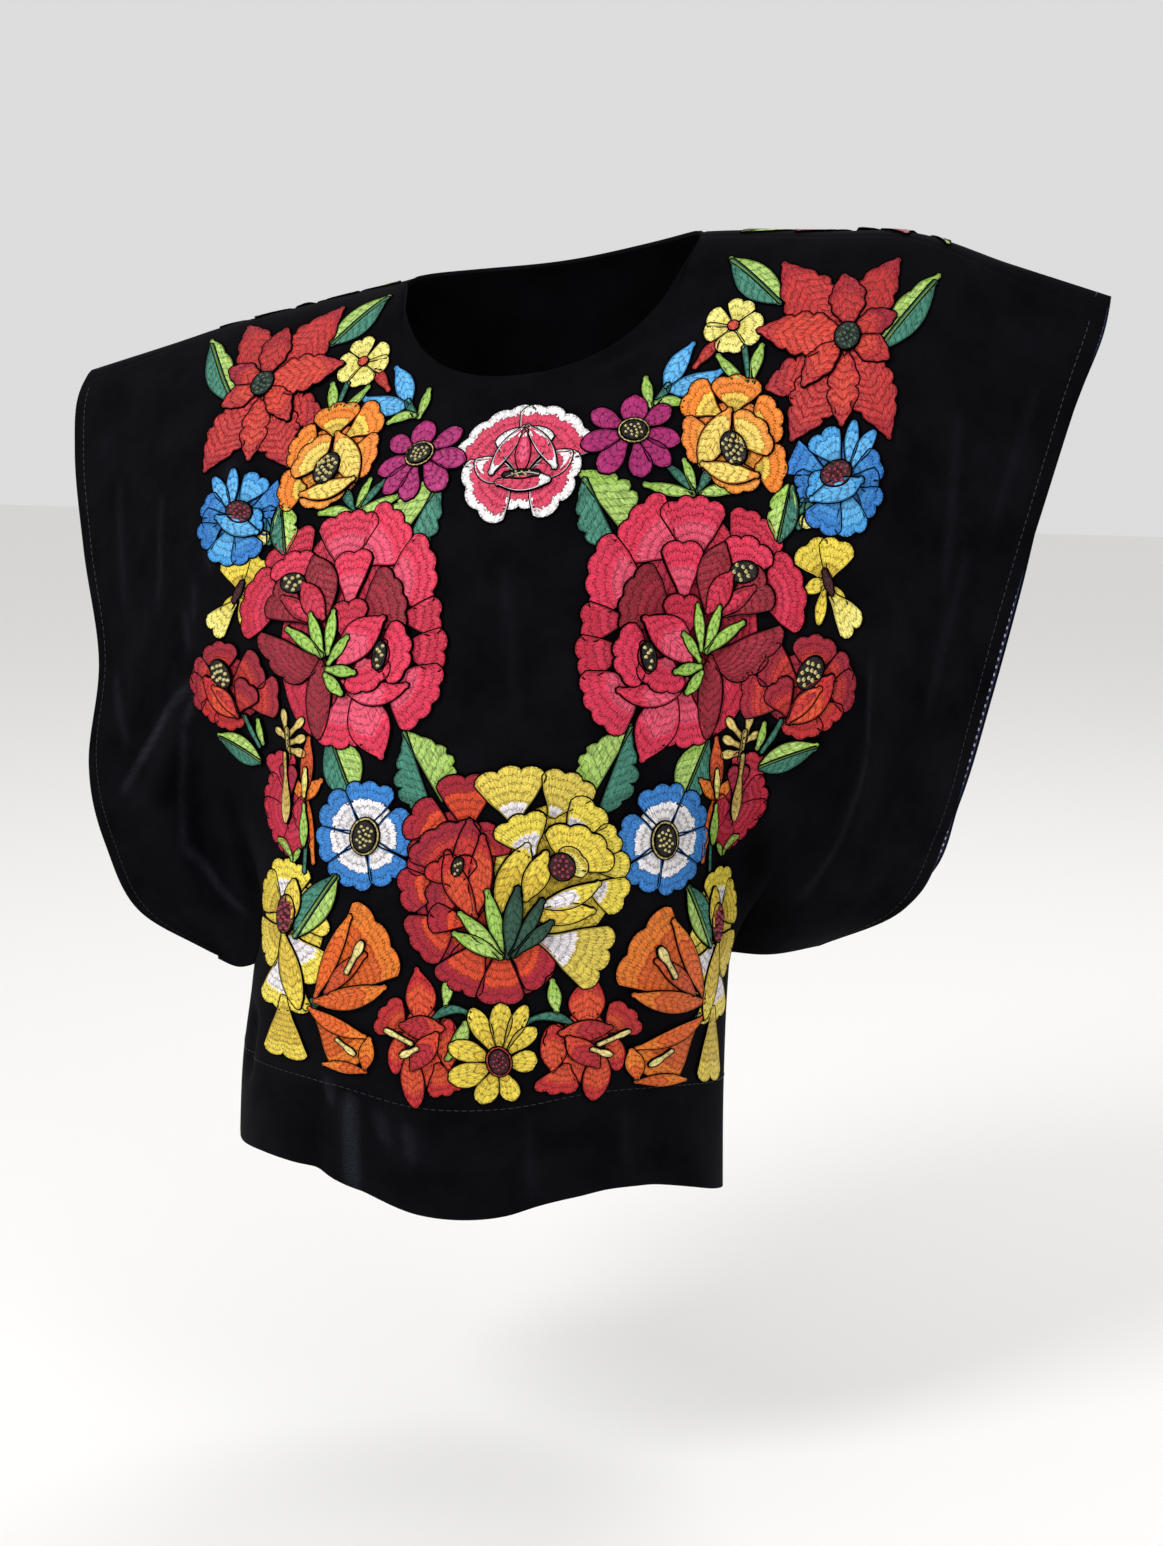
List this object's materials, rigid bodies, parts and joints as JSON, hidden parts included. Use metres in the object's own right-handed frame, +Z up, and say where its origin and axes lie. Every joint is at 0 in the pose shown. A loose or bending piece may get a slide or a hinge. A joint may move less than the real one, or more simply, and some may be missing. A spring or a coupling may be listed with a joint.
{
  "type": "embroidered velvet huipil blouse",
  "caption": "Wide T-shaped velvet blouse with butterfly sleeves, scoop neck and raised satin-stitch flowers, shaped as worn on a tilted figure.",
  "frame": {"origin": "middle between the two points where the neck opening meets the shoulder line, on the crest of the shoulders", "axes": "+Z up, front of the blouse toward -Y, wearer's left sleeve toward +X"},
  "size_m": [0.6233, 0.2589, 0.5803],
  "materials": {
    "velvet": "black cotton velvet with crushed pile along the folds",
    "facing": "navy cotton with small white dots",
    "thread_red": "glossy satin-stitch thread",
    "thread_orange": "glossy satin-stitch thread",
    "thread_violet": "glossy satin-stitch thread",
    "thread_blue": "glossy satin-stitch thread",
    "thread_crimson": "glossy satin-stitch thread",
    "thread_pink": "glossy satin-stitch thread",
    "thread_ember": "glossy satin-stitch thread",
    "thread_yellow": "glossy satin-stitch thread"
  },
  "bodies": {
    "root": {"front": "velvet", "back": "velvet", "sleeve_facing_left": "facing", "sleeve_facing_right": "facing", "front_poinsettia_left": "thread_red", "front_poinsettia_right": "thread_red", "front_orangeRose_left": "thread_orange", "front_orangeRose_right": "thread_orange", "front_purpleDaisy_left": "thread_violet", "front_purpleDaisy_right": "thread_violet", "front_blueRose_left": "thread_blue", "front_blueRose_right": "thread_blue", "front_crimsonRose_left": "thread_crimson", "front_crimsonRose_right": "thread_crimson", "front_redRose_left": "thread_red", "front_redRose_right": "thread_red", "front_blueWhiteFlower_left": "thread_blue", "front_blueWhiteFlower_right": "thread_blue", "front_upperCalla_left": "thread_orange", "front_upperCalla_right": "thread_orange", "front_emberFlower_left": "thread_ember", "front_emberFlower_right": "thread_ember", "front_centreFlower": "thread_pink", "front_emberRose": "thread_ember", "front_creamRose": "thread_yellow", "front_yellowDaisy": "thread_yellow"}
  },
  "joints": []
}
